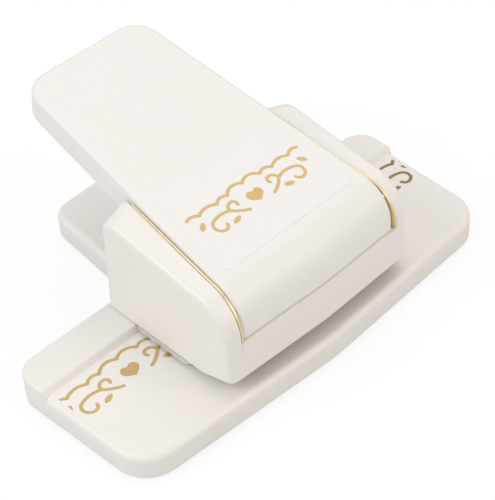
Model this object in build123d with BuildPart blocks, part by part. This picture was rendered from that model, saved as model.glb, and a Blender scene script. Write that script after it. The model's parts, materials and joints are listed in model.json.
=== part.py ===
"""Craft punch for paper borders, built as separate named pieces.

The object stands on its rubber feet on z = 0. X runs along the paper table, Y runs from the paper
entry at the front to the free end of the lever, Z is up. All lengths are millimetres.
"""

import os
from math import cos, radians, sin, tan

from build123d import *

os.makedirs("parts", exist_ok=True)

# ---- base -----------------------------------------------------------------------------------
foot_height = 1.0
base_bottom_z = 0.8
deck_z = 9.7
deck_thickness = 2.4
base_wall = 2.6
front_apex_y = -54.9
front_corner_y = -50.6
front_half = 73.9
wing_back_y = 5.4
wing_back_half = 76.2
stem_root_half = 25.7
stem_back_half = 20.8
stem_corner_y = 54.3
stem_back_y = 54.9
front_corner_radius = 12.0
wing_corner_radius = 7.5
stem_root_radius = 4.0
stem_corner_radius = 7.0
front_apex_radius = 60.0
stem_bow_radius = 200.0
deck_rim_radius = 2.2
base_foot_radius = 0.6

# ---- fence along the back of each wing --------------------------------------------------------
fence_height = 2.2
fence_front_y = -9.3
fence_slope = 1.3
fence_edge_radius = 1.0

# ---- bottom cover, screws and feet ----------------------------------------------------------
cover_bottom_z = 1.0
cover_thickness = 1.8
cover_gap = 0.25
boss_radius = 3.6
cover_screw_radius = 1.25
cover_head_radius = 2.8
cover_head_height = 0.8
screw_play = 0.05
head_play = 0.2
cover_screw_front_inset = 9.9
cover_screw_wing_inset = 10.2
cover_screw_stem_inset = 8.3
cover_screw_front_y = -41.0
cover_screw_wing_y = -2.5
cover_screw_stem_y = 46.0
cover_screw_rows = [
    (front_half - cover_screw_front_inset, cover_screw_front_y),
    (wing_back_half - cover_screw_wing_inset, cover_screw_wing_y),
    (stem_back_half - cover_screw_stem_inset, cover_screw_stem_y),
]
cover_screw_places = [(side * x, y) for x, y in cover_screw_rows for side in (1, -1)]
foot_radius = 6.0
foot_edge_radius = 0.3
foot_front_inset = 12.9
foot_wing_inset = 26.2
foot_front_y = -30.0
foot_wing_y = -4.0
foot_stem_y = 44.0
foot_rows = [(front_half - foot_front_inset, foot_front_y), (wing_back_half - foot_wing_inset, foot_wing_y)]
foot_places = [(side * x, y) for x, y in foot_rows for side in (1, -1)] + [(0.0, foot_stem_y)]

# ---- cutting unit ---------------------------------------------------------------------------
die_thickness = 4.0
die_half = 31.0
unit_front_y = -30.0
unit_back_y = -0.8
seat_play = 0.2
seat_width = 3.0
seat_lip = 4.0
paper_gap = 1.2
stop_bar_overhang = 5.8
stop_bar_half = die_half + stop_bar_overhang
guide_plate_thickness = 1.2
guide_plate_overhang = 2.0
guide_plate_half = stop_bar_half + guide_plate_overhang
guide_plate_front_y = -33.0
guide_plate_radius = 4.0
block_inset = 0.8
block_half = die_half - block_inset
block_thickness = 3.0
unit_corner_radius = 2.0
punch_y = -22.2
cutter_play = 0.35
cutter_rise = 0.7
line_width = 1.1
unit_screw_inset = 5.8
unit_screw_x = die_half - unit_screw_inset
unit_screw_y = -4.8
unit_screw_radius = 1.75
unit_head_radius = 3.2
unit_head_height = 2.0

# ---- press unit: carrier, posts and springs ---------------------------------------------------
lever_travel_deg = 10.0
press_arm = 19.5
contact_gap = 0.3
carrier_thickness = 4.0
carrier_inset = 3.5
carrier_half = die_half - carrier_inset
carrier_front_y = -27.0
punch_plate_thickness = 2.5
post_x = 15.0
post_y = -4.8
post_radius = 2.0
post_head_radius = 3.0
post_head_height = 1.2
post_press_play = 0.02
post_slide_play = 0.07
spring_wire_radius = 0.4
spring_mean_radius = 3.3
spring_turns = 4
spring_end_gap = 0.06

# ---- lever ----------------------------------------------------------------------------------
lever_tilt = 11.31
lever_mark_y = -26.46
lever_mark_z = 47.97
lever_back_y = 53.0
lever_side_inset = 3.0
lever_side_x = die_half - lever_side_inset
lever_side_slope = 0.0766
lever_wall = 2.2
lever_edge_radius = 1.5
lever_corner_radius = 9.0
lever_skirt_back = 8.6
lever_skirt_front = 11.0
lever_nose_radius = 13.2
pivot_y = -37.8
front_v_slope = 0.037
ear_radius = 8.5
rib_x = 15.0
rib_thickness = 2.4
rib_margin = 1.0
ear_thickness = 3.3
pad_radius = 4.0
pad_half = 19.5
pin_radius = 2.5
pin_press_play = 0.02
pin_run_play = 0.06
clip_thickness = 0.8
clip_radius = 4.2
label_thickness = 0.12
label_front = -12.6
label_back = 21.6
label_inset = 4.1
label_radius = 1.8

# ---- steel side plates ------------------------------------------------------------------------
plate_gap = 0.3
plate_thickness = 0.75
plate_depth = 0.15
plate_front_step = 1.6
plate_back_step = 0.8
plate_play = 0.15
plate_low_rise = 4.9
plate_low_front = 3.8
plate_low_back = 5.2
flange_inner_x = 20.5
flange_front_y = -8.8

# ---- housing --------------------------------------------------------------------------------
housing_boss_step = 2.4
housing_side_step = 4.8
housing_boss_x = die_half + housing_boss_step
housing_half = housing_boss_x + housing_side_step
housing_wall = 2.2
housing_side_z = 12.25
housing_front_z = 15.4
housing_lip_y = -38.0
housing_back_y = 3.6
housing_nose_y = -51.6
seam_rest_gap = 0.3
seam_shelf = 0.9
panel_top_z = 29.0
panel_overlap = 0.6
back_wall_z = 33.0
back_wall_step = 0.4
crease_radius = 2.2
crease_rise = 0.7
crease_turns = [12.0, 30.0, 50.0, 70.0, 90.0]
seam_back_corner = [(-0.4, -8.0), (-1.6, -4.4), (-5.1, -3.4)]
seam_nose = [(14.6, 12.1), (4.7, 7.8), (1.3, -0.2), (1.25, 0.0)]
crease_back_corner = [(-1.1, -11.5), (-2.4, -7.4), (-6.6, -5.8)]
crease_nose = [(15.6, 11.0), (6.3, 7.4), (2.7, 0.3), (2.2, 0.0)]
rim_start_step = 2.2
rim_start_x = housing_half + rim_start_step
rim_y_slope = 0.038
rim_z_slope = -0.228
housing_boss_y = -1.8
housing_boss_radius = 3.0
housing_boss_z = 24.0
housing_screw_radius = 1.25
housing_screw_length = 16.0
sticker_thickness = 0.06
sticker_back_y = -10.4
sticker_front_y = -31.5
sticker_inner_step = 3.0
sticker_inner_x = die_half + sticker_inner_step
sticker_end_inset = 1.1
sticker_end_x = front_half - sticker_end_inset

# ---- values that follow from the ones above ---------------------------------------------------
cover_top_z = cover_bottom_z + cover_thickness
fence_inner_x = stop_bar_half + seat_play
fence_top_z = deck_z + fence_height
die_bottom_z = deck_z - die_thickness
guide_plate_z = deck_z + paper_gap
block_z = guide_plate_z + guide_plate_thickness
block_top_z = block_z + block_thickness
tilt_slope = tan(radians(lever_tilt))
pivot_z = lever_mark_z + (pivot_y - lever_mark_y) * tilt_slope - lever_nose_radius / cos(radians(lever_tilt))
press_y = pivot_y + press_arm
press_stroke = press_arm * radians(lever_travel_deg)
pad_bottom_z = pivot_z - pad_radius
carrier_top_z = pad_bottom_z - contact_gap
carrier_bottom_z = carrier_top_z - carrier_thickness
punch_plate_z = carrier_bottom_z - punch_plate_thickness
cutter_tip_z = guide_plate_z + cutter_rise


def lever_top(y):
    """Height of the lever's flat top at a given y."""
    return lever_mark_z + (y - lever_mark_y) * tilt_slope


def lever_side(y):
    """Half width of the lever at a given y."""
    return lever_side_x - lever_side_slope * y


def nearest(things, x, y, z=0.0):
    """The one edge, face or corner nearest a point."""
    return things.sort_by_distance((x, y, z))[0]


def save(builder, label):
    """Name a finished piece and write its file."""
    builder.part.label = label
    export_step(builder.part, f"parts/{label}.step")


# ---- shared outlines --------------------------------------------------------------------------
base_corners = [
    (0.0, front_apex_y),
    (front_half, front_corner_y),
    (wing_back_half, wing_back_y),
    (stem_root_half, wing_back_y),
    (stem_back_half, stem_corner_y),
    (0.0, stem_back_y),
    (-stem_back_half, stem_corner_y),
    (-stem_root_half, wing_back_y),
    (-wing_back_half, wing_back_y),
    (-front_half, front_corner_y),
]
base_radii = [
    front_apex_radius,
    front_corner_radius,
    wing_corner_radius,
    stem_root_radius,
    stem_corner_radius,
    stem_bow_radius,
    stem_corner_radius,
    stem_root_radius,
    wing_corner_radius,
    front_corner_radius,
]


def base_outline(height, inset=0.0):
    """The T-shaped outline of the base at a height, drawn in by an inset."""
    with BuildSketch(Plane.XY.offset(height)) as outline:
        with BuildLine():
            Polyline(*base_corners, close=True)
        make_face()
        for corner, radius in zip(base_corners, base_radii):
            fillet(nearest(outline.vertices(), *corner), radius)
        if inset:
            offset(amount=-inset)
    return outline.sketch


def unit_plate(height, half, front, back, thickness):
    """A flat plate of the cutting unit, as a rounded rectangle in plan."""
    with BuildSketch(Plane.XY.offset(height)) as plan:
        with Locations((0.0, (front + back) / 2)):
            RectangleRounded(2 * half, back - front, unit_corner_radius)
    extrude(plan.sketch, amount=thickness)


# The ornament that is cut: a scalloped line, a heart, two scrolls and four leaves. Its own origin is
# the tip of the heart; +y points to the edge of the paper.
scallop_strokes = [
    [(0.0, 9.45), (3.45, 10.55), (7.4, 8.6)],
    [(7.4, 8.6), (9.8, 9.35), (12.6, 8.2)],
    [(12.6, 8.2), (16.7, 9.35), (20.5, 8.35)],
    [(20.5, 8.35), (23.3, 9.45), (25.4, 9.05)],
]
scroll_strokes = [
    [(5.5, -0.4), (8.4, 1.25), (11.0, 3.3)],
    [(11.0, 3.3), (15.0, 4.15), (18.4, 3.2)],
    [(18.4, 3.2), (20.1, 0.9), (18.9, -1.05)],
    [(18.9, -1.05), (16.7, -1.45), (15.5, 0.05)],
    [(11.0, 3.3), (10.3, 4.9), (8.9, 5.7)],
    [(8.9, 5.7), (7.35, 5.0), (7.4, 3.6)],
]
leaves = [((22.6, 4.0), -48.0), ((11.8, -0.9), -20.0)]
leaf_length = 1.8
leaf_width = 0.85
heart_side = [(0.0, -0.1), (2.75, 2.4), (2.85, 4.75), (0.0, 4.3)]
ornament_top = 10.55
ornament_bottom = -1.6
ornament_half = 25.4


def ornament(height, grow=0.0):
    """The ornament as flat faces at a height, each face grown by an allowance all round."""
    width = line_width + 2 * grow
    with BuildSketch(Plane((0.0, punch_y, height))) as faces:
        with BuildLine():
            for side in (-1, 1):
                tip, cheek, lobe, notch = [(side * x, y) for x, y in heart_side]
                Line(tip, cheek)
                ThreePointArc(cheek, lobe, notch)
        make_face()
        if grow:
            offset(amount=grow)
        for side in (-1, 1):
            for stroke in scallop_strokes + scroll_strokes:
                with BuildLine(mode=Mode.PRIVATE) as curve:
                    ThreePointArc(*[(side * x, y) for x, y in stroke])
                SlotArc(curve.edge(), width)
            for (x, y), turn in leaves:
                with Locations(Location((side * x, y), side * turn)):
                    Ellipse(leaf_length + grow, leaf_width + grow)
    return faces.sketch


# ---- short names for repeated shapes ----------------------------------------------------------
standing = (Align.CENTER, Align.CENTER, Align.MIN)


def rod(x, y, bottom, top, radius, mode=Mode.ADD):
    """An upright round bar, or a round hole when it is subtracted."""
    with Locations((x, y, bottom)):
        Cylinder(radius, top - bottom, align=standing, mode=mode)


def slab(half, front, back, bottom, top, mode=Mode.ADD):
    """A box centred on x = 0."""
    with Locations((0.0, (front + back) / 2, bottom)):
        Box(2 * half, back - front, top - bottom, align=standing, mode=mode)


def side_band(inner, outer, front, back, bottom, top):
    """An upright wall that follows the lever's right side, between two distances outside it."""
    with BuildPart() as band:
        with BuildSketch(Plane.XY.offset(bottom)):
            with BuildLine():
                Polyline(
                    (lever_side(front) + inner, front),
                    (lever_side(front) + outer, front),
                    (lever_side(back) + outer, back),
                    (lever_side(back) + inner, back),
                    close=True,
                )
            make_face()
        extrude(amount=top - bottom)
    return band.part


def lever_plan(grow, front, back, bottom, top):
    """The lever's tapered plan as an upright prism, grown by an allowance on both sides."""
    with BuildPart() as prism:
        with BuildSketch(Plane.XY.offset(bottom)):
            with BuildLine():
                Polyline(
                    (lever_side(front) + grow, front),
                    (lever_side(back) + grow, back),
                    (-lever_side(back) - grow, back),
                    (-lever_side(front) - grow, front),
                    close=True,
                )
            make_face()
        extrude(amount=top - bottom)
    return prism.part


wide = 2 * wing_back_half
high = lever_top(lever_back_y) + deck_z

# ---- fences: one raised block along the back of each wing -------------------------------------
with BuildPart() as fences:
    with BuildSketch(Plane.YZ.offset(fence_inner_x)):
        with BuildLine():
            Polyline(
                (fence_front_y, deck_z - deck_rim_radius),
                (fence_front_y, deck_z),
                (fence_front_y + fence_slope, fence_top_z),
                (wing_back_y + deck_z, fence_top_z),
                (wing_back_y + deck_z, deck_z - deck_rim_radius),
                close=True,
            )
        make_face()
    extrude(amount=wing_back_half)
    add(base_outline(deck_z - deck_rim_radius))
    extrude(amount=deck_z, mode=Mode.INTERSECT)
    fillet(fences.faces().sort_by(Axis.Z)[-1].edges(), fence_edge_radius)
    mirror(about=Plane.YZ)

# ---- base: a hollow T-shaped tray with the seat of the die ------------------------------------
deck_under_z = deck_z - deck_thickness
seat_bottom_z = cover_top_z + cover_gap
seat_half = die_half + seat_play
seat_front_y = unit_front_y - seat_play
seat_back_y = unit_back_y + seat_play
chip_half = die_half - seat_lip
chip_front_y = unit_front_y + seat_lip
chip_back_y = punch_y + ornament_top + line_width + seat_play
housing_places = [(housing_boss_x, housing_boss_y), (-housing_boss_x, housing_boss_y)]
housing_head_z = seat_bottom_z + cover_head_height + head_play
unit_screw_places = [(unit_screw_x, unit_screw_y), (-unit_screw_x, unit_screw_y)]
post_places = [(post_x, post_y), (-post_x, post_y)]

with BuildPart() as base_body:
    add(base_outline(base_bottom_z))
    extrude(amount=deck_z - base_bottom_z)
    fillet(base_body.faces().sort_by(Axis.Z)[-1].edges(), deck_rim_radius)
    fillet(base_body.faces().sort_by(Axis.Z)[0].edges(), base_foot_radius)
    add(fences.part)
    add(base_outline(base_bottom_z, base_wall))
    extrude(amount=deck_under_z - base_bottom_z, mode=Mode.SUBTRACT)
    slab(seat_half + seat_width, seat_front_y - seat_width, seat_back_y + seat_width, seat_bottom_z, deck_z)
    for x, y in cover_screw_places:
        rod(x, y, cover_top_z, deck_under_z, boss_radius)
        rod(x, y, cover_top_z, deck_under_z - cover_gap, cover_screw_radius + screw_play, Mode.SUBTRACT)
    for x, y in housing_places:
        rod(x, y, seat_bottom_z, deck_under_z, boss_radius)
        rod(x, y, seat_bottom_z, deck_z, housing_screw_radius + screw_play, Mode.SUBTRACT)
        rod(x, y, seat_bottom_z, housing_head_z, cover_head_radius + head_play, Mode.SUBTRACT)
    slab(seat_half, seat_front_y, seat_back_y, die_bottom_z, deck_z, Mode.SUBTRACT)
    slab(chip_half, chip_front_y, chip_back_y, seat_bottom_z, deck_z, Mode.SUBTRACT)
    for x, y in unit_screw_places:
        rod(x, y, seat_bottom_z, die_bottom_z, unit_screw_radius + screw_play, Mode.SUBTRACT)
save(base_body, "base_body")

# ---- bottom cover with the chip opening, its screws and the rubber feet -----------------------
head_seat_z = cover_bottom_z + cover_head_height + head_play
with BuildPart() as bottom_cover:
    add(base_outline(cover_bottom_z, base_wall + cover_gap))
    extrude(amount=cover_thickness)
    slab(chip_half, chip_front_y, chip_back_y, cover_bottom_z, cover_top_z, Mode.SUBTRACT)
    for x, y in cover_screw_places:
        rod(x, y, cover_bottom_z, cover_top_z, cover_screw_radius + head_play, Mode.SUBTRACT)
        rod(x, y, cover_bottom_z, head_seat_z, cover_head_radius + head_play, Mode.SUBTRACT)
save(bottom_cover, "bottom_cover")


def screws_from_below(places, head_bottom, head_top, length):
    """Cross-head screws driven upwards, heads at the bottom."""
    for x, y in places:
        rod(x, y, head_bottom, head_top, cover_head_radius)
        rod(x, y, head_top, head_top + length, cover_screw_radius)
        for turn in (0, 90):
            with Locations(Location((x, y, head_bottom), turn)):
                Box(cover_head_radius, cover_head_radius / 5, cover_head_height, mode=Mode.SUBTRACT)


cover_screw_length = deck_under_z - head_seat_z - 2 * cover_gap
with BuildPart() as cover_screws:
    screws_from_below(cover_screw_places, head_seat_z - cover_head_height, head_seat_z, cover_screw_length)
save(cover_screws, "cover_screws")

with BuildPart() as housing_screws:
    head_bottom_z = housing_head_z - cover_head_height
    screws_from_below(housing_places, head_bottom_z, housing_head_z, housing_screw_length)
save(housing_screws, "housing_screws")

with BuildPart() as rubber_feet:
    for x, y in foot_places:
        rod(x, y, 0.0, foot_height, foot_radius)
    fillet(rubber_feet.edges().group_by(Axis.Z)[0], foot_edge_radius)
save(rubber_feet, "rubber_feet")

# ---- alignment stickers on the deck -----------------------------------------------------------
sticker_x = (sticker_inner_x + sticker_end_x) / 2
sticker_y = (sticker_front_y + sticker_back_y) / 2
for name, side in (("alignment_sticker_left", -1), ("alignment_sticker_right", 1)):
    with BuildPart() as sticker:
        with BuildSketch(Plane.XY.offset(deck_z)):
            with Locations((side * sticker_x, sticker_y)):
                Rectangle(sticker_end_x - sticker_inner_x, sticker_back_y - sticker_front_y)
        extrude(amount=sticker_thickness)
    save(sticker, name)

# ---- cutting unit: die, stop bar, guide plate, guide block ------------------------------------
with BuildPart() as die_plate:
    unit_plate(die_bottom_z, die_half, unit_front_y, unit_back_y, die_thickness)
    add(ornament(die_bottom_z, cutter_play))
    extrude(amount=die_thickness, mode=Mode.SUBTRACT)
    for x, y in unit_screw_places:
        rod(x, y, die_bottom_z, deck_z, unit_screw_radius + screw_play, Mode.SUBTRACT)
    for x, y in post_places:
        rod(x, y, die_bottom_z, deck_z, post_radius + post_press_play, Mode.SUBTRACT)
save(die_plate, "die_plate")

with BuildPart() as stop_bar:
    slab(stop_bar_half, fence_front_y, unit_back_y, deck_z, guide_plate_z)
    for x, y in unit_screw_places:
        rod(x, y, deck_z, guide_plate_z, unit_screw_radius + screw_play, Mode.SUBTRACT)
    for x, y in post_places:
        rod(x, y, deck_z, guide_plate_z, post_radius + post_press_play, Mode.SUBTRACT)
    for x, y in housing_places:
        rod(x, y, deck_z, guide_plate_z, housing_screw_radius + head_play, Mode.SUBTRACT)
save(stop_bar, "stop_bar")

with BuildPart() as guide_plate:
    with BuildSketch(Plane.XY.offset(guide_plate_z)) as guide_outline:
        with Locations((0.0, (guide_plate_front_y + fence_front_y - seat_play) / 2)):
            Rectangle(2 * guide_plate_half, fence_front_y - seat_play - guide_plate_front_y)
        fillet(guide_outline.vertices().group_by(Axis.Y)[0], guide_plate_radius)
        with Locations((0.0, (punch_y + unit_back_y) / 2)):
            Rectangle(2 * block_half, unit_back_y - punch_y)
    extrude(amount=guide_plate_thickness)
    add(ornament(guide_plate_z, cutter_play))
    extrude(amount=guide_plate_thickness, mode=Mode.SUBTRACT)
    for x, y in unit_screw_places:
        rod(x, y, guide_plate_z, block_z, unit_screw_radius + screw_play, Mode.SUBTRACT)
    for x, y in post_places:
        rod(x, y, guide_plate_z, block_z, post_radius + post_press_play, Mode.SUBTRACT)
save(guide_plate, "guide_plate")

with BuildPart() as guide_block:
    unit_plate(block_z, block_half, guide_plate_front_y, unit_back_y, block_thickness)
    add(ornament(block_z, cutter_play))
    extrude(amount=block_thickness, mode=Mode.SUBTRACT)
    for x, y in unit_screw_places:
        rod(x, y, block_z, block_top_z, unit_screw_radius + screw_play, Mode.SUBTRACT)
    for x, y in post_places:
        rod(x, y, block_z, block_top_z, post_radius + post_press_play, Mode.SUBTRACT)
save(guide_block, "guide_block")

flange_top_z = block_top_z + plate_thickness
with BuildPart() as unit_screws:
    for x, y in unit_screw_places:
        rod(x, y, seat_bottom_z + cover_gap, flange_top_z, unit_screw_radius)
        rod(x, y, flange_top_z, flange_top_z + unit_head_height, unit_head_radius)
        for turn in (0, 90):
            with Locations(Location((x, y, flange_top_z + unit_head_height), turn)):
                Box(unit_head_radius, unit_head_radius / 5, unit_head_height, mode=Mode.SUBTRACT)
save(unit_screws, "unit_screws")

# ---- press unit: posts, springs, carrier and punch --------------------------------------------
post_head_z = carrier_top_z + contact_gap
with BuildPart() as guide_posts:
    for x, y in post_places:
        rod(x, y, die_bottom_z + cover_gap, post_head_z, post_radius)
        rod(x, y, post_head_z, post_head_z + post_head_height, post_head_radius)
save(guide_posts, "guide_posts")

spring_bottom_z = block_top_z + spring_wire_radius + spring_end_gap
spring_top_z = carrier_bottom_z - spring_wire_radius - spring_end_gap
for name, (x, y) in (("return_spring_right", post_places[0]), ("return_spring_left", post_places[1])):
    with BuildPart() as spring:
        with BuildLine() as coil:
            Helix(
                (spring_top_z - spring_bottom_z) / spring_turns,
                spring_top_z - spring_bottom_z,
                spring_mean_radius,
                center=(x, y, spring_bottom_z),
            )
        with BuildSketch(Plane(origin=coil.line @ 0, z_dir=coil.line % 0)):
            Circle(spring_wire_radius)
        sweep()
    save(spring, name)

with BuildPart() as press_carrier:
    unit_plate(carrier_bottom_z, carrier_half, carrier_front_y, unit_back_y, carrier_thickness)
    for x, y in post_places:
        rod(x, y, carrier_bottom_z, carrier_top_z, post_radius + post_slide_play, Mode.SUBTRACT)
save(press_carrier, "press_carrier")

punch_front_y = punch_y + ornament_bottom - line_width
punch_back_y = punch_y + ornament_top + line_width
punch_half = ornament_half + line_width
with BuildPart() as punch:
    unit_plate(punch_plate_z, punch_half, punch_front_y, punch_back_y, punch_plate_thickness)
    add(ornament(cutter_tip_z))
    extrude(amount=punch_plate_z - cutter_tip_z)
save(punch, "punch")

# ---- lever ------------------------------------------------------------------------------------
tilt_sin = sin(radians(lever_tilt))
tilt_cos = cos(radians(lever_tilt))


def lever_profile(x, inset):
    """The lever's side view as a face at x. Its nose steps back with |x|, so the front is a flat V."""
    step = pivot_y - lever_nose_radius - housing_nose_y - seam_shelf - front_v_slope * abs(x)
    centre_y = pivot_y - step
    centre_z = pivot_z - step * tilt_slope
    nose = lever_nose_radius - inset
    nose_turn = radians(45 - lever_tilt / 2)
    back = lever_back_y - inset / tilt_cos
    top = lever_top(back) - inset / tilt_cos
    floor = pivot_z - ear_radius
    front_floor = (x, centre_y - nose, floor)
    front = (x, centre_y - nose, centre_z)
    nose_middle = (x, centre_y - nose * cos(nose_turn), centre_z + nose * sin(nose_turn))
    nose_end = (x, centre_y - nose * tilt_sin, centre_z + nose * tilt_cos)
    back_top = (x, back, top)
    back_floor = (x, back + (top - floor) * tilt_slope, floor)
    with BuildLine(mode=Mode.PRIVATE) as border:
        Line(front_floor, front)
        ThreePointArc(front, nose_middle, nose_end)
        Polyline(nose_end, back_top, back_floor, front_floor)
    return make_face(border.edges(), mode=Mode.PRIVATE)


def lever_block(inset):
    """The lever as a full block, drawn in by an inset at the top, nose, back and sides."""
    back = lever_back_y - inset / tilt_cos
    top = lever_top(back) - inset / tilt_cos
    floor = pivot_z - ear_radius
    sections = [lever_profile(x, inset) for x in (-wing_back_half, 0.0, wing_back_half)]
    with BuildPart() as shape:
        loft(sections=sections, ruled=True)
        add(lever_plan(-inset, 2 * pivot_y, 2 * lever_back_y, floor, high), mode=Mode.INTERSECT)
        middle = (top + floor) / 2
        for side in (-1, 1):
            corner = (side * (lever_side(back) - inset), back + (top - middle) * tilt_slope, middle)
            fillet(nearest(shape.edges(), *corner), lever_corner_radius - inset)
    return shape.part


def on_lever_rim(edge):
    """Is this edge one of the lever's soft outer edges: top, nose sides or front sides?"""
    spot = edge.center()
    outside = abs(spot.X) > 0.9 * lever_side(spot.Y) or spot.Y > lever_back_y - lever_corner_radius
    upper = spot.Z > lever_top(spot.Y) - lever_wall or spot.Y < pivot_y
    return outside and upper and spot.Z > lever_floor + lever_wall


lever_floor = pivot_z - ear_radius
lever_outer = lever_block(0.0)
lever_inner = lever_block(lever_wall)
lever_front_z = panel_top_z + seam_rest_gap

with BuildPart() as lever_ears:
    with BuildSketch(Plane.YZ):
        with Locations((pivot_y, pivot_z)):
            Circle(ear_radius)
        with Locations((pivot_y, pivot_z + ear_radius / 2)):
            Rectangle(2 * ear_radius, ear_radius)
    extrude(amount=wide, both=True)
    add(lever_plan(0.0, pivot_y - 2 * ear_radius, pivot_y + 2 * ear_radius, 0.0, high), mode=Mode.INTERSECT)
    add(lever_plan(-ear_thickness, 2 * pivot_y, pivot_y + 2 * ear_radius, 0.0, high), mode=Mode.SUBTRACT)

with BuildPart() as lever_shell:
    add(lever_outer)
    fillet(lever_shell.edges().filter_by(on_lever_rim), lever_edge_radius)
    add(lever_inner, mode=Mode.SUBTRACT)
    skirt_front_y = pivot_y + ear_radius
    nose_inner_y = pivot_y - lever_nose_radius + lever_wall
    with BuildSketch(Plane.YZ):
        with BuildLine():
            Polyline(
                (2 * pivot_y, lever_front_z),
                (nose_inner_y, lever_front_z),
                (nose_inner_y + lever_wall, pivot_z),
                (skirt_front_y, lever_top(skirt_front_y) - lever_skirt_front),
                (2 * lever_back_y, lever_top(2 * lever_back_y) - lever_skirt_back),
                (2 * lever_back_y, 0.0),
                (2 * pivot_y, 0.0),
                close=True,
            )
        make_face()
    extrude(amount=wide, both=True, mode=Mode.SUBTRACT)
    add(lever_ears.part)
    rib_back_y = lever_back_y - lever_corner_radius
    rib_front_y = pivot_y + 2 * pin_radius
    for side in (-1, 1):
        with BuildSketch(Plane.YZ.offset(side * rib_x)):
            with BuildLine():
                Polyline(
                    (press_y - pad_radius - rib_margin, pivot_z),
                    (press_y + pad_radius + rib_margin, pivot_z),
                    (0.0, lever_top(0.0) - lever_skirt_front),
                    (rib_back_y, lever_top(rib_back_y) - lever_skirt_back + rib_margin),
                    (rib_back_y, lever_top(rib_back_y) - lever_wall / 2),
                    (rib_front_y, lever_top(rib_front_y) - lever_wall / 2),
                    (rib_front_y, pivot_z + pin_radius),
                    close=True,
                )
            make_face()
        extrude(amount=rib_thickness / 2, both=True)
    with BuildSketch(Plane.YZ):
        with Locations((pivot_y, pivot_z)):
            Circle(pin_radius + pin_run_play)
    extrude(amount=wide, both=True, mode=Mode.SUBTRACT)
save(lever_shell, "lever_shell")

with BuildPart() as press_bar:
    with BuildSketch(Plane.YZ):
        with Locations((press_y, pivot_z)):
            Circle(pad_radius)
        with Locations((press_y, pivot_z + pad_radius)):
            Rectangle(2 * pad_radius, 2 * pad_radius, mode=Mode.SUBTRACT)
    extrude(amount=pad_half, both=True)
save(press_bar, "press_bar")

lever_plane = Plane(
    origin=(0.0, lever_mark_y, lever_mark_z),
    x_dir=(1, 0, 0),
    z_dir=(0, -tilt_sin, tilt_cos),
)
with BuildPart() as lever_label:
    with BuildSketch(lever_plane) as label_outline:
        with BuildLine():
            front_half_width = lever_side(lever_mark_y + label_front * tilt_cos) - label_inset
            back_half_width = lever_side(lever_mark_y + label_back * tilt_cos) - label_inset
            Polyline(
                (-front_half_width, label_front),
                (front_half_width, label_front),
                (back_half_width, label_back),
                (-back_half_width, label_back),
                close=True,
            )
        make_face()
        fillet(label_outline.vertices(), label_radius)
    extrude(amount=label_thickness)
save(lever_label, "lever_label")

# ---- pivot pin and its clips ------------------------------------------------------------------
plate_outer = plate_gap + plate_thickness
clip_inner_x = lever_side(pivot_y - clip_radius) + plate_outer + screw_play
pin_half = clip_inner_x + 2 * clip_thickness
with BuildPart() as pivot_pin:
    with BuildSketch(Plane.YZ):
        with Locations((pivot_y, pivot_z)):
            Circle(pin_radius)
    extrude(amount=pin_half, both=True)
save(pivot_pin, "pivot_pin")

with BuildPart() as pin_clips:
    for side in (-1, 1):
        with BuildSketch(Plane.YZ.offset(side * (clip_inner_x + clip_thickness / 2))):
            with Locations((pivot_y, pivot_z)):
                Circle(clip_radius)
                Circle(pin_radius + pin_press_play, mode=Mode.SUBTRACT)
            with Locations((pivot_y, pivot_z - clip_radius)):
                Rectangle(pin_radius, 2 * clip_radius, mode=Mode.SUBTRACT)
        extrude(amount=clip_thickness / 2, both=True)
save(pin_clips, "pin_clips")

# ---- housing profiles: rim at the seam beside the lever, crease at the outer wall ---------------
def housing_profile(back_corner, nose, foot_step):
    """Nine points (y, z): back foot, back corner arc, nose arc, front foot and lip."""
    top_z = lever_top(housing_back_y)
    points = [(housing_back_y - foot_step, housing_side_z)]
    points += [(housing_back_y + y, top_z + z) for y, z in back_corner]
    points += [(housing_nose_y + y, pivot_z + z) for y, z in nose[:-1]]
    points += [(housing_nose_y + nose[-1][0], housing_front_z), (housing_lip_y, housing_side_z)]
    return points


seam_profile = housing_profile(seam_back_corner, seam_nose, 0.0)
crease_profile = housing_profile(crease_back_corner, crease_nose, screw_play)


def profile_face(points):
    """A flat face inside a closed housing profile, from nine points in space."""
    foot, corner_a, corner_b, corner_c, nose_a, nose_b, nose_c, front, lip = points
    with BuildLine(mode=Mode.PRIVATE) as border:
        Line(foot, corner_a)
        ThreePointArc(corner_a, corner_b, corner_c)
        Line(corner_c, nose_a)
        ThreePointArc(nose_a, nose_b, nose_c)
        Line(nose_c, front)
        Line(front, lip)
        Line(lip, foot)
    return make_face(border.edges(), mode=Mode.PRIVATE)


def rim_x(y, z):
    """The slanted plane in which the rim meets the seam."""
    return rim_start_x + rim_y_slope * y + rim_z_slope * z


# Outward directions of the crease profile, for rounding it: only the back, top and nose are rounded.
crease_outward = [(0, 0), (1, 0), (0.7, 0.7), (0, 1), (-0.15, 1), (-0.7, 0.7), (-1, 0), (-1, 0), (0, 0)]


def crease_section(turn):
    """The housing's profile part of the way round its soft crease: 0 is the rim, 90 the outer wall."""
    x = housing_half - crease_radius * (1 - sin(radians(turn)))
    depth = crease_radius * (crease_rise - cos(radians(turn)))
    points = [(y - depth * a, z - depth * b) for (y, z), (a, b) in zip(crease_profile, crease_outward)]
    return profile_face([(x, y, z) for y, z in points])


pod_sections = [profile_face([(rim_x(y, z), y, z) for y, z in seam_profile])]
pod_sections += [crease_section(turn) for turn in crease_turns]
with BuildPart() as pod:
    loft(sections=pod_sections, ruled=True)

hollow_section = profile_face([(0.0, y, z if z > housing_front_z else -deck_z) for y, z in crease_profile])
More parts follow.
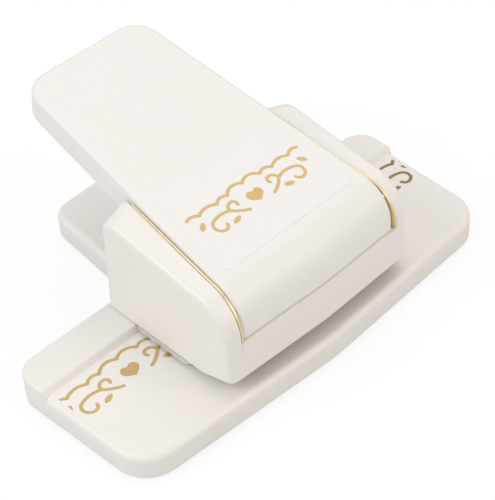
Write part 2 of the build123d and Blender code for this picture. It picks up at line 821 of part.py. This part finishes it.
# ---- yellow steel side plates: foot flange, upright and pivot eye -------------------------------
plate_front_y = housing_nose_y + housing_wall + plate_front_step
plate_back_y = unit_back_y - plate_back_step
plate_low_z = block_top_z + plate_low_rise
plate_corner_z = seam_profile[3][1] - plate_depth
(nose_start_y, nose_start_z), (nose_middle_y, nose_middle_z), (nose_end_y, nose_end_z) = seam_profile[4:7]
plate_nose_y = nose_end_y + plate_depth
plate_step_z = panel_top_z + seam_rest_gap
plate_bevel = plate_depth * cos(radians(45))


def upright(grow):
    """The right side plate's upright, grown by an allowance on both faces and along its top and nose."""
    nose_middle = (nose_middle_y + plate_bevel - grow, nose_middle_z - plate_bevel + grow)
    with BuildPart() as plate:
        with BuildSketch(Plane.YZ):
            with BuildLine():
                Polyline(
                    (plate_nose_y - grow, nose_end_z),
                    (plate_nose_y - grow, plate_step_z - grow),
                    (plate_front_y - grow, plate_step_z - grow),
                    (plate_front_y + plate_low_front - grow, plate_low_z),
                    (flange_front_y - plate_low_back, plate_low_z),
                    (flange_front_y, block_top_z),
                    (plate_back_y + grow, block_top_z),
                    (plate_back_y + grow, plate_corner_z + grow),
                    (nose_start_y, nose_start_z - plate_depth + grow),
                )
                ThreePointArc(
                    (nose_start_y, nose_start_z - plate_depth + grow),
                    nose_middle,
                    (plate_nose_y - grow, nose_end_z),
                )
            make_face()
        extrude(amount=wide)
        band = side_band(plate_gap - grow, plate_outer + grow, 2 * pivot_y, wing_back_y, block_top_z, high)
        add(band, mode=Mode.INTERSECT)
    return plate.part


for name, side in (("side_plate_right", 1), ("side_plate_left", -1)):
    with BuildPart() as side_plate:
        add(upright(0.0))
        with BuildSketch(Plane.YZ):
            with Locations((pivot_y, pivot_z)):
                Circle(pin_radius + pin_press_play)
        extrude(amount=wide, mode=Mode.SUBTRACT)
        with BuildSketch(Plane.XY.offset(block_top_z)):
            with BuildLine():
                Polyline(
                    (flange_inner_x, flange_front_y),
                    (lever_side(flange_front_y) + plate_outer, flange_front_y),
                    (lever_side(plate_back_y) + plate_outer, plate_back_y),
                    (flange_inner_x, plate_back_y),
                    close=True,
                )
            make_face()
        extrude(amount=plate_thickness)
        screw_hole = unit_screw_radius + screw_play
        rod(unit_screw_x, unit_screw_y, block_top_z, flange_top_z, screw_hole, Mode.SUBTRACT)
        if side < 0:
            mirror(about=Plane.YZ, mode=Mode.REPLACE)
    save(side_plate, name)

# ---- housing ----------------------------------------------------------------------------------
back_wall_y = housing_back_y - back_wall_step
housing_hole_top_z = housing_head_z + housing_screw_length + cover_head_height
hollow_face = offset(hollow_section, amount=-housing_wall)
lever_slot = lever_plan(plate_outer + plate_play, 2 * housing_nose_y, 2 * housing_back_y, panel_top_z, high)


def panel_slice(z):
    """The V-shaped front panel in plan at a height, ending just inside the rim."""
    end_x = rim_x(housing_nose_y, z) + panel_overlap
    end_y = housing_nose_y + front_v_slope * end_x
    with BuildSketch(Plane.XY.offset(z), mode=Mode.PRIVATE) as outline:
        with BuildLine():
            Polyline(
                (0.0, housing_nose_y),
                (end_x, end_y),
                (end_x, end_y + housing_wall),
                (0.0, housing_nose_y + housing_wall),
                (-end_x, end_y + housing_wall),
                (-end_x, end_y),
                close=True,
            )
        make_face()
    return outline.sketch.face()


panel_slices = [panel_slice(housing_front_z), panel_slice(panel_top_z)]
with BuildPart() as panel:
    loft(sections=panel_slices, ruled=True)
front_panel = panel.part

back_wall_half = housing_half - housing_wall / 2
back_wall_bottom_z = housing_side_z + back_wall_step
with BuildPart() as housing:
    add(pod.part)
    add(upright(plate_play), mode=Mode.SUBTRACT)
    mirror(about=Plane.YZ)
    extrude(hollow_face.faces(), amount=housing_half - housing_wall, both=True, mode=Mode.SUBTRACT)
    add(lever_slot, mode=Mode.SUBTRACT)
    add(front_panel, mode=Mode.ADD)
    slab(back_wall_half, back_wall_y - housing_wall, back_wall_y, back_wall_bottom_z, back_wall_z)
    for x, y in housing_places:
        rod(x, y, guide_plate_z, housing_boss_z, housing_boss_radius)
        rod(x, y, guide_plate_z, housing_hole_top_z, housing_screw_radius + screw_play, Mode.SUBTRACT)
save(housing, "housing")
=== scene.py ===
"""Looks of the craft punch: moulded cream plastic, gold prints, steel cutting unit, soft studio."""

import json
import math

import bpy
from mathutils import Matrix, Vector


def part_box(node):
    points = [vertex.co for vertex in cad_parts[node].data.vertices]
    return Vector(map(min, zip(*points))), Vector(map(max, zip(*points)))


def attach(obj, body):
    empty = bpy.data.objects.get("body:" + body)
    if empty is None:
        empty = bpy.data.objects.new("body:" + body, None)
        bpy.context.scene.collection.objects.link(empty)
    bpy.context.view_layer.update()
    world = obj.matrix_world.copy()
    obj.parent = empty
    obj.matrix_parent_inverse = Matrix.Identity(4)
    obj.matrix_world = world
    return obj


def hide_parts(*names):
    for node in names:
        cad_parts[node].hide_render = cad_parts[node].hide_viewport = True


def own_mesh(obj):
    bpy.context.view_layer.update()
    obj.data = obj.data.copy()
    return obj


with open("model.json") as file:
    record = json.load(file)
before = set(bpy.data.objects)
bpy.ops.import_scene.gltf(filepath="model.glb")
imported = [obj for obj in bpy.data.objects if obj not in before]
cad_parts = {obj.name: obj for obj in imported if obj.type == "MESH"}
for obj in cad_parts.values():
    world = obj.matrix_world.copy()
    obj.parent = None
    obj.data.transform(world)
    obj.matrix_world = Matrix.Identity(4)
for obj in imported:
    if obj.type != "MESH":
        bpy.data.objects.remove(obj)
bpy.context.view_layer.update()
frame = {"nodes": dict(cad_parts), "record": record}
mm = 0.001
noise_low, noise_high = 0.3, 0.7


# ---- materials: a small language for shader maths ----------------------------------------------
class Wire:
    """One output socket of a material, so that node maths reads as arithmetic."""

    def __init__(self, paint, socket):
        self.paint = paint
        self.socket = socket

    def maths(self, operation, *values):
        return self.paint.node("ShaderNodeMath", {"operation": operation}, dict(enumerate(values)))

    def __add__(self, other):
        return self.maths("ADD", self, other)

    def __radd__(self, other):
        return self.maths("ADD", other, self)

    def __mul__(self, other):
        return self.maths("MULTIPLY", self, other)

    def __rmul__(self, other):
        return self.maths("MULTIPLY", other, self)


class Paint:
    """A finish: one Principled shader and the nodes that vary it over the surface."""

    def __init__(self, name, **fixed):
        self.material = bpy.data.materials.new(name)
        self.material.use_nodes = True
        self.tree = self.material.node_tree
        self.tree.nodes.clear()
        self.shader = self.tree.nodes.new("ShaderNodeBsdfPrincipled")
        output = self.tree.nodes.new("ShaderNodeOutputMaterial")
        self.tree.links.new(self.shader.outputs[0], output.inputs["Surface"])
        self.place = self.node("ShaderNodeTexCoord", {}, {}, "Object")
        for socket, value in fixed.items():
            self.shader.inputs[socket.replace("_", " ")].default_value = value

    def node(self, kind, settings, sockets, out=0):
        """Adds a node: its settings first, then the values or wires of its sockets."""
        made = self.tree.nodes.new(kind)
        for setting, value in settings.items():
            setattr(made, setting, value)
        for socket, value in sockets.items():
            if isinstance(value, Wire):
                self.tree.links.new(value.socket, made.inputs[socket])
            else:
                made.inputs[socket].default_value = value
        return Wire(self, made.outputs[out])

    def noise(self, scale, detail, place=None):
        """Soft noise from 0 to 1; scale is in features per metre."""
        sockets = {"Vector": place or self.place, "Scale": scale, "Detail": detail}
        return self.node("ShaderNodeTexNoise", {}, sockets, "Fac")

    def stretched(self, x, y, z):
        """Object coordinates, stretched along some axes."""
        return self.node("ShaderNodeVectorMath", {"operation": "MULTIPLY"}, {0: self.place, 1: (x, y, z)})

    def between(self, fac, low, high):
        """A value from low to high, as soft noise goes over its usual range."""
        ends = {"From Min": noise_low, "From Max": noise_high, "To Min": low, "To Max": high}
        return self.node("ShaderNodeMapRange", {}, {"Value": fac, **ends})

    def tint(self, fac, first, second):
        """A colour between two others."""
        return self.node("ShaderNodeMix", {"data_type": "RGBA"}, {0: fac, 6: first, 7: second}, 2)

    def give(self, socket, wire):
        """Feeds a socket of the shader."""
        self.tree.links.new(wire.socket, self.shader.inputs[socket])

    def relief(self, height, depth):
        """Raises the surface by height times depth, in metres."""
        bump = self.node("ShaderNodeBump", {}, {"Height": height, "Distance": depth, "Strength": 1.0})
        self.give("Normal", bump)


def shade(colour, factor):
    """A colour made lighter or darker, with its alpha."""
    return (*[min(1.0, c * factor) for c in colour], 1.0)


def moulded(name, colour, gloss, grain):
    """Injection-moulded plastic: faint flow clouds, fine tooling grain, uneven gloss."""
    paint = Paint(name, Coat_Weight=0.12, Coat_Roughness=0.25, IOR=1.5)
    clouds = paint.noise(22.0, 3.0)
    specks = paint.noise(1400.0, 1.0)
    flow = paint.noise(9.0, 2.0, paint.stretched(1.0, 0.35, 1.0))
    tone = paint.tint(clouds * 0.75 + specks * 0.25, shade(colour, 0.985), shade(colour, 1.012))
    warm = (colour[0], colour[1] * 0.988, colour[2] * 0.965, 1.0)
    paint.give("Base Color", paint.tint(paint.between(flow, 0.0, 0.45), tone, warm))
    paint.give("Roughness", paint.between(clouds * 0.6 + specks * 0.4, gloss - 0.05, gloss + 0.06))
    height = paint.noise(2600.0, 2.0) * 0.7 + paint.noise(420.0, 1.0) * 0.3
    paint.relief(height, grain * mm)
    return paint.material


def printed_film(name, colour):
    """Thin satin film: smoother than the plastic under it, with a little waviness."""
    paint = Paint(name, IOR=1.46, Coat_Weight=0.2, Coat_Roughness=0.2)
    waves = paint.noise(60.0, 2.0)
    dust = paint.noise(2200.0, 1.0)
    paint.give("Base Color", paint.tint(waves * 0.6 + dust * 0.4, shade(colour, 0.988), shade(colour, 1.01)))
    paint.give("Roughness", paint.between(waves, 0.32, 0.42))
    paint.relief(waves * 0.8 + dust * 0.2, 0.02 * mm)
    return paint.material


def gold_print(name, light, dark):
    """Matt gold ink with tiny metal flakes."""
    paint = Paint(name, Specular_IOR_Level=0.6)
    flakes = paint.noise(5200.0, 2.0)
    wear = paint.noise(260.0, 3.0)
    paint.give("Base Color", paint.tint(flakes * 0.55 + wear * 0.45, (*dark, 1.0), (*light, 1.0)))
    paint.give("Metallic", paint.between(flakes, 0.3, 0.5))
    paint.give("Roughness", paint.between(wear, 0.26, 0.38))
    paint.relief(flakes, 0.01 * mm)
    return paint.material


def ground_steel(name, colour, along, roughness):
    """Steel with grinding lines along one axis."""
    paint = Paint(name, Metallic=1.0)
    stretch = [1.0, 1.0, 1.0]
    stretch[along] = 0.03
    lines = paint.noise(2400.0, 3.0, paint.stretched(*stretch))
    clouds = paint.noise(70.0, 3.0)
    paint.give("Base Color", paint.tint(lines * 0.6 + clouds * 0.4, shade(colour, 0.82), shade(colour, 1.08)))
    paint.give("Roughness", paint.between(lines * 0.5 + clouds * 0.5, roughness - 0.08, roughness + 0.1))
    paint.relief(lines, 0.012 * mm)
    return paint.material


def passivated(name, colour, blush):
    """Yellow zinc: gold with rainbow blushes and small spangles."""
    paint = Paint(name, Metallic=0.6)
    clouds = paint.noise(130.0, 4.0)
    spangle = paint.noise(900.0, 2.0)
    tone = paint.tint(paint.between(clouds, 0.0, 1.0), (*colour, 1.0), (*blush, 1.0))
    paint.give("Base Color", paint.tint(spangle * 0.3, tone, shade(colour, 1.25)))
    paint.give("Roughness", paint.between(spangle, 0.28, 0.46))
    paint.relief(spangle, 0.01 * mm)
    return paint.material


def soft_rubber(name, colour):
    """Matt foot rubber with a fine moulded grain."""
    paint = Paint(name, Specular_IOR_Level=0.3)
    grain = paint.noise(3000.0, 3.0)
    clouds = paint.noise(90.0, 2.0)
    paint.give("Base Color", paint.tint(clouds * 0.6 + grain * 0.4, shade(colour, 0.88), shade(colour, 1.06)))
    paint.give("Roughness", paint.between(grain, 0.72, 0.88))
    paint.relief(grain, 0.04 * mm)
    return paint.material


cream = (0.890, 0.862, 0.834)
finishes = {
    "base_body": moulded("base_plastic", cream, 0.36, 0.012),
    "housing": moulded("housing_plastic", cream, 0.34, 0.010),
    "lever_shell": moulded("lever_plastic", (0.885, 0.864, 0.845), 0.36, 0.010),
    "bottom_cover": moulded("cover_plastic", (0.72, 0.70, 0.67), 0.55, 0.030),
    "stop_bar": moulded("stop_bar_plastic", (0.72, 0.70, 0.67), 0.50, 0.020),
    "press_bar": moulded("press_bar_plastic", (0.60, 0.58, 0.55), 0.45, 0.020),
    "lever_label": printed_film("lever_film", (0.885, 0.865, 0.850)),
    "alignment_sticker_left": printed_film("deck_film", (0.893, 0.867, 0.842)),
    "rubber_feet": soft_rubber("foot_rubber", (0.55, 0.54, 0.52)),
    "die_plate": ground_steel("die_steel", (0.56, 0.57, 0.58), 0, 0.34),
    "guide_plate": ground_steel("guide_plate_steel", (0.86, 0.84, 0.80), 0, 0.42),
    "guide_block": passivated("block_zinc", (0.80, 0.60, 0.28), (0.74, 0.64, 0.38)),
    "press_carrier": ground_steel("carrier_steel", (0.54, 0.55, 0.56), 1, 0.36),
    "punch": ground_steel("punch_steel", (0.60, 0.61, 0.62), 2, 0.26),
    "guide_posts": ground_steel("post_steel", (0.66, 0.67, 0.68), 2, 0.20),
    "pivot_pin": ground_steel("pin_steel", (0.64, 0.65, 0.66), 0, 0.22),
    "pin_clips": ground_steel("clip_steel", (0.30, 0.31, 0.33), 2, 0.36),
    "return_spring_left": ground_steel("spring_steel", (0.40, 0.41, 0.43), 2, 0.28),
    "cover_screws": ground_steel("screw_zinc", (0.66, 0.67, 0.70), 2, 0.28),
    "side_plate_left": passivated("yellow_zinc", (0.88, 0.71, 0.43), (0.88, 0.75, 0.50)),
}
alike = {
    "alignment_sticker_right": "alignment_sticker_left",
    "return_spring_right": "return_spring_left",
    "housing_screws": "cover_screws",
    "unit_screws": "cover_screws",
    "side_plate_right": "side_plate_left",
}


def coat(piece, material):
    """Gives a piece one material all over."""
    piece.data.materials.clear()
    piece.data.materials.append(material)


for name, piece in frame["nodes"].items():
    coat(piece, finishes[alike.get(name, name)])


# ---- gold prints --------------------------------------------------------------------------------
# The ornament in millimetres, from the tip of its heart; +y points to the scalloped edge. Strokes
# that overlap differ in height by level_step of ink_height, so their tops are not in one plane.
line_width = 1.15
ink_height = 0.06
level_step = 0.04
arc_steps = 12
end_steps = 6
curve_steps = 10
weld_distance = 0.001 * mm
leaf_outline = [(2.05, 0.0), (1.15, 0.72), (0.0, 0.95), (-1.15, 0.72),
                (-2.05, 0.0), (-1.15, -0.72), (0.0, -0.95), (1.15, -0.72)]
scallop_arcs = [
    [(0.0, 9.3), (3.5, 10.6), (7.45, 8.5)],
    [(7.45, 8.5), (9.7, 9.4), (12.6, 8.05)],
    [(12.6, 8.05), (16.8, 9.35), (20.4, 8.15)],
    [(20.4, 8.15), (23.2, 9.45), (25.2, 9.0)],
]
scroll_arcs = [
    [(5.6, -0.4), (8.2, 0.85), (11.1, 3.25)],
    [(11.1, 3.25), (15.4, 4.1), (19.2, 3.1)],
    [(19.2, 3.1), (20.2, 0.6), (17.95, -1.65)],
    [(17.95, -1.65), (16.4, -1.25), (15.7, -0.05)],
    [(11.1, 3.25), (10.85, 4.6), (8.9, 5.8)],
    [(8.9, 5.8), (7.3, 4.9), (7.5, 3.55)],
]
leaves = [((22.8, 4.0), -47.0), ((12.0, -0.9), -20.0)]
heart_side = [(0.0, 0.0), (3.25, 3.3), (1.7, 5.25), (0.0, 4.55)]


def drop_selection():
    bpy.ops.object.select_all(action="DESELECT")


def outward(piece, weld=False):
    """Turns a piece's faces outward; weld first joins the points that lie on each other."""
    bpy.context.view_layer.objects.active = piece
    bpy.ops.object.mode_set(mode="EDIT")
    bpy.ops.mesh.select_all(action="SELECT")
    if weld:
        bpy.ops.mesh.remove_doubles(threshold=weld_distance)
    bpy.ops.mesh.normals_make_consistent(inside=False)
    bpy.ops.object.mode_set(mode="OBJECT")


def ink_patch(points, corners, share=1.0):
    """A filled patch of ink, at a share of the full height; the points listed as corners are sharp."""
    drop_selection()
    bpy.ops.curve.primitive_bezier_circle_add(location=(0, 0, 0))
    curve = bpy.context.object.data
    curve.dimensions = "2D"
    curve.fill_mode = "BOTH"
    curve.extrude = share * ink_height / 2 * mm
    curve.resolution_u = curve_steps
    outline = curve.splines[0].bezier_points
    outline.add(len(points) - len(outline))
    for index, (point, (x, y)) in enumerate(zip(outline, points)):
        point.co = (x * mm, y * mm, 0.0)
        kind = "VECTOR" if index in corners else "AUTO"
        point.handle_left_type = kind
        point.handle_right_type = kind
    bpy.ops.object.convert(target="MESH")
    patch = bpy.context.object
    outward(patch, weld=True)
    return patch


def ink_stroke(start, middle, end, share):
    """A stroke of ink with round ends, along the circular arc through three points."""
    a, b, c = Vector(start), Vector(middle), Vector(end)
    ab, ac = b - a, c - a
    spread = 2 * (ab.x * ac.y - ab.y * ac.x)
    ab_squared, ac_squared = ab.length_squared, ac.length_squared
    centre = a + Vector((ac.y * ab_squared - ab.y * ac_squared,
                         ab.x * ac_squared - ac.x * ab_squared)) / spread
    first = math.atan2(a.y - centre.y, a.x - centre.x)
    sweep = (math.atan2(c.y - centre.y, c.x - centre.x) - first) % math.tau
    if spread < 0:
        sweep -= math.tau
    last = first + sweep
    radius = (a - centre).length
    half = line_width / 2
    half_turn = math.copysign(math.pi, sweep)
    arc_shares = [step / arc_steps for step in range(arc_steps + 1)]
    end_shares = [step / end_steps for step in range(1, end_steps)]
    rim = [(centre, radius + half, first + sweep * part) for part in arc_shares]
    rim += [(c, half, last + half_turn * part) for part in end_shares]
    rim += [(centre, radius - half, last - sweep * part) for part in arc_shares]
    rim += [(a, half, first + math.pi + half_turn * part) for part in end_shares]
    outline = [(hub.x + reach * math.cos(turn), hub.y + reach * math.sin(turn))
               for hub, reach, turn in rim]
    return ink_patch(outline, range(len(outline)), share)


def ink_leaf(x, y, turn):
    """A leaf of ink, an oval with pointed ends."""
    cos, sin = math.cos(math.radians(turn)), math.sin(math.radians(turn))
    outline = [(x + a * cos - b * sin, y + a * sin + b * cos) for a, b in leaf_outline]
    return ink_patch(outline, (0, 4))


def trimmed(pieces, x, side):
    """Cuts pieces one by one along a plane across X, and drops what lies beyond it."""
    kept = []
    for piece in pieces:
        drop_selection()
        piece.select_set(True)
        bpy.context.view_layer.objects.active = piece
        bpy.ops.object.mode_set(mode="EDIT")
        bpy.ops.mesh.select_all(action="SELECT")
        bpy.ops.mesh.bisect(plane_co=(x, 0, 0), plane_no=(side, 0, 0), clear_outer=True,
                            threshold=weld_distance)
        bpy.ops.mesh.select_all(action="SELECT")
        bpy.ops.mesh.fill_holes(sides=0)
        bpy.ops.object.mode_set(mode="OBJECT")
        if len(piece.data.polygons):
            outward(piece)
            kept.append(piece)
        else:
            bpy.data.objects.remove(piece)
    return kept


def ornament(name, low_x=None, high_x=None):
    """The ornament as one flat print in its own plane, cut off at low_x and high_x if given."""
    made = []
    for side in (-1, 1):
        for level, arc in enumerate(scallop_arcs + scroll_arcs, start=int(side > 0)):
            made.append(ink_stroke(*[(side * x, y) for x, y in arc], 1 - level_step * level))
        for (x, y), turn in leaves:
            made.append(ink_leaf(side * x, y, side * turn))
    tip, cheek, lobe, notch = heart_side
    outline = [tip, cheek, lobe, notch, (-lobe[0], lobe[1]), (-cheek[0], cheek[1])]
    made.append(ink_patch(outline, (0, 3)))
    if low_x is not None:
        made = trimmed(trimmed(made, high_x, 1), low_x, -1)
    drop_selection()
    for piece in made:
        piece.select_set(True)
    bpy.context.view_layer.objects.active = made[0]
    bpy.ops.object.join()
    print_piece = bpy.context.object
    print_piece.name = name
    print_piece.data.name = name
    bpy.ops.object.transform_apply()
    return print_piece


def placed(piece, matrix):
    """Puts a finished piece in its place and bakes that into its mesh."""
    drop_selection()
    piece.select_set(True)
    bpy.context.view_layer.objects.active = piece
    piece.matrix_world = matrix
    bpy.ops.object.transform_apply()


lever_tilt = math.radians(11.31)
lever_mark = Vector((0.0, -26.46, 47.97)) * mm
film_thickness = 0.12 * mm
lever_motif_scale = 0.9
lever_plane = Matrix.Translation(lever_mark) @ Matrix.Rotation(lever_tilt, 4, "X")
film_top = lever_plane @ Matrix.Translation((0, 0, film_thickness))
gold = gold_print("gold_ink", (0.70, 0.50, 0.22), (0.59, 0.41, 0.16))
# The right wing's print takes a darkened copy of the gold ink: painted shade standing in for the dimmer
# reflection that print catches.
shaded_gold = gold_print("painted_shade_gold_ink", (0.34, 0.215, 0.06), (0.22, 0.14, 0.045))
lever_print = ornament("lever_print")
placed(lever_print, film_top @ Matrix.Scale(lever_motif_scale, 4))
coat(lever_print, gold)
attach(lever_print, "lever")

motif_x = 50.62 * mm
motif_y = -22.2 * mm
# The right wing's print gets the darkened gold, painted shade for its dimmer reflection.
for hand, side, ink in (("left", -1, gold), ("right", 1, shaded_gold)):
    low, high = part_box("alignment_sticker_" + hand)
    wing_print = ornament("deck_print_" + hand, low.x - side * motif_x, high.x - side * motif_x)
    placed(wing_print, Matrix.Translation((side * motif_x, motif_y, high.z)))
    coat(wing_print, ink)
    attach(wing_print, "base")

# ---- return springs -----------------------------------------------------------------------------
wire_radius = 0.4 * mm
wire_sides = 14
spring_turns = 4
steps_per_turn = 32
joints = frame["record"]["behaviour"]["joints"]
slide = next(joint for joint in joints if joint["name"] == "punch_slide")
stroke = -slide["range_m"][0]


def coil(name, mean_radius, rise):
    """A helical spring of round wire with closed ends, standing on its own centre."""
    drop_selection()
    bpy.ops.mesh.primitive_circle_add(vertices=wire_sides, radius=wire_radius,
                                      location=(mean_radius, 0, 0), rotation=(math.pi / 2, 0, 0))
    spring = bpy.context.object
    spring.name = name
    spring.data.name = name
    bpy.ops.object.transform_apply()
    bpy.ops.object.modifier_add(type="SCREW")
    screw = spring.modifiers[-1]
    screw.angle = spring_turns * math.tau
    screw.screw_offset = rise
    screw.steps = spring_turns * steps_per_turn
    screw.render_steps = screw.steps
    bpy.ops.object.modifier_apply(modifier=screw.name)
    bpy.ops.object.mode_set(mode="EDIT")
    bpy.ops.mesh.select_all(action="SELECT")
    bpy.ops.mesh.fill_holes(sides=0)
    bpy.ops.object.mode_set(mode="OBJECT")
    outward(spring)
    return spring


for node in ("return_spring_left", "return_spring_right"):
    low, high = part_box(node)
    height = high.z - low.z
    middle = (low + high) / 2
    seat = Vector((middle.x, middle.y, low.z))
    mean_radius = (high.x - low.x) / 2 - wire_radius
    spring = coil(node.replace("return", "coil"), mean_radius, height - 2 * wire_radius)
    placed(spring, Matrix.Translation(seat + Vector((0, 0, wire_radius))))
    coat(spring, finishes["return_spring_left"])
    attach(spring, "base")
    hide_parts(node)
    1 - stroke / height
    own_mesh(spring)

# ---- studio -------------------------------------------------------------------------------------
floor_size = 6.0
floor_drop = 0.1 * mm  # keeps the floor out of the plane of the feet
floor_grey = 0.72
floor_glow = 1.13
glow_share = 0.72
ambient_tone = (1.0, 0.978, 0.945, 1.0)
ambient_strength = 0.62
white_tone = (1.0, 1.0, 1.0, 1.0)

scene = bpy.context.scene
drop_selection()
bpy.ops.mesh.primitive_plane_add(size=floor_size, location=(0, 0, -floor_drop))
floor = bpy.context.object
floor.name = "floor"
sheet = bpy.data.materials.new("white_floor")
sheet.use_nodes = True
tree = sheet.node_tree
tree.nodes.clear()
paper = tree.nodes.new("ShaderNodeBsdfDiffuse")
paper.inputs["Color"].default_value = (floor_grey, floor_grey, floor_grey, 1.0)
glow = tree.nodes.new("ShaderNodeEmission")
glow.inputs["Color"].default_value = white_tone
glow.inputs["Strength"].default_value = floor_glow
path = tree.nodes.new("ShaderNodeLightPath")
share = tree.nodes.new("ShaderNodeMath")
share.operation = "MULTIPLY"
share.inputs[1].default_value = glow_share
mixed = tree.nodes.new("ShaderNodeMixShader")
out = tree.nodes.new("ShaderNodeOutputMaterial")
tree.links.new(path.outputs["Is Camera Ray"], share.inputs[0])
tree.links.new(share.outputs[0], mixed.inputs[0])
tree.links.new(paper.outputs[0], mixed.inputs[1])
tree.links.new(glow.outputs[0], mixed.inputs[2])
tree.links.new(mixed.outputs[0], out.inputs["Surface"])
coat(floor, sheet)

world = bpy.data.worlds.new("studio")
scene.world = world
world.use_nodes = True
sky = world.node_tree
sky.nodes.clear()
ambient = sky.nodes.new("ShaderNodeBackground")
ambient.inputs["Color"].default_value = ambient_tone
ambient.inputs["Strength"].default_value = ambient_strength
white = sky.nodes.new("ShaderNodeBackground")
white.inputs["Color"].default_value = white_tone
white.inputs["Strength"].default_value = 1.0
seen = sky.nodes.new("ShaderNodeLightPath")
choose = sky.nodes.new("ShaderNodeMixShader")
end = sky.nodes.new("ShaderNodeOutputWorld")
sky.links.new(seen.outputs["Is Camera Ray"], choose.inputs[0])
sky.links.new(ambient.outputs[0], choose.inputs[1])
sky.links.new(white.outputs[0], choose.inputs[2])
sky.links.new(choose.outputs[0], end.inputs["Surface"])


def softbox(name, place, aim, size, power, colour):
    """A square soft lamp at a place, turned to its aim."""
    lamp = bpy.data.lights.new(name, "AREA")
    lamp.size = size
    lamp.energy = power
    lamp.color = colour
    stand = bpy.data.objects.new(name, lamp)
    scene.collection.objects.link(stand)
    stand.location = place
    stand.rotation_euler = (Vector(aim) - Vector(place)).to_track_quat("-Z", "Y").to_euler()


softbox("key_left", place=(-0.85, 0.25, 0.75), aim=(0, 0, 0.02), size=0.7, power=4.3,
        colour=(0.975, 0.99, 1.0))
softbox("top_gleam", place=(0.53, 0.27, 0.92), aim=(0, 0, 0.03), size=0.9, power=1.8,
        colour=(0.97, 0.985, 1.0))
softbox("front_fill", place=(0.36, -0.92, 0.68), aim=(0, 0, 0.03), size=0.8, power=2.9,
        colour=(1.0, 0.935, 0.85))

# ---- camera -------------------------------------------------------------------------------------
azimuth = math.radians(-41.477)
elevation = math.radians(42.956)
roll = math.radians(4.431)
distance = 553.08 * mm
target = Vector((15.585, -0.769, 0.8)) * mm
back = Vector((math.sin(azimuth) * math.cos(elevation),
               -math.cos(azimuth) * math.cos(elevation),
               math.sin(elevation)))
right = Vector((0, 0, 1)).cross(back).normalized()
up = back.cross(right)
across = math.cos(roll) * right - math.sin(roll) * up
upward = math.sin(roll) * right + math.cos(roll) * up
lens = bpy.data.cameras.new("camera")
lens.sensor_width = 36.0
lens.lens = 122.4
lens.clip_start = 0.01
lens.clip_end = 20.0
camera = bpy.data.objects.new("camera", lens)
scene.collection.objects.link(camera)
turn = Matrix((across, upward, back)).transposed().to_4x4()
camera.matrix_world = Matrix.Translation(target + distance * back) @ turn
scene.camera = camera

scene.view_settings.view_transform = "Standard"
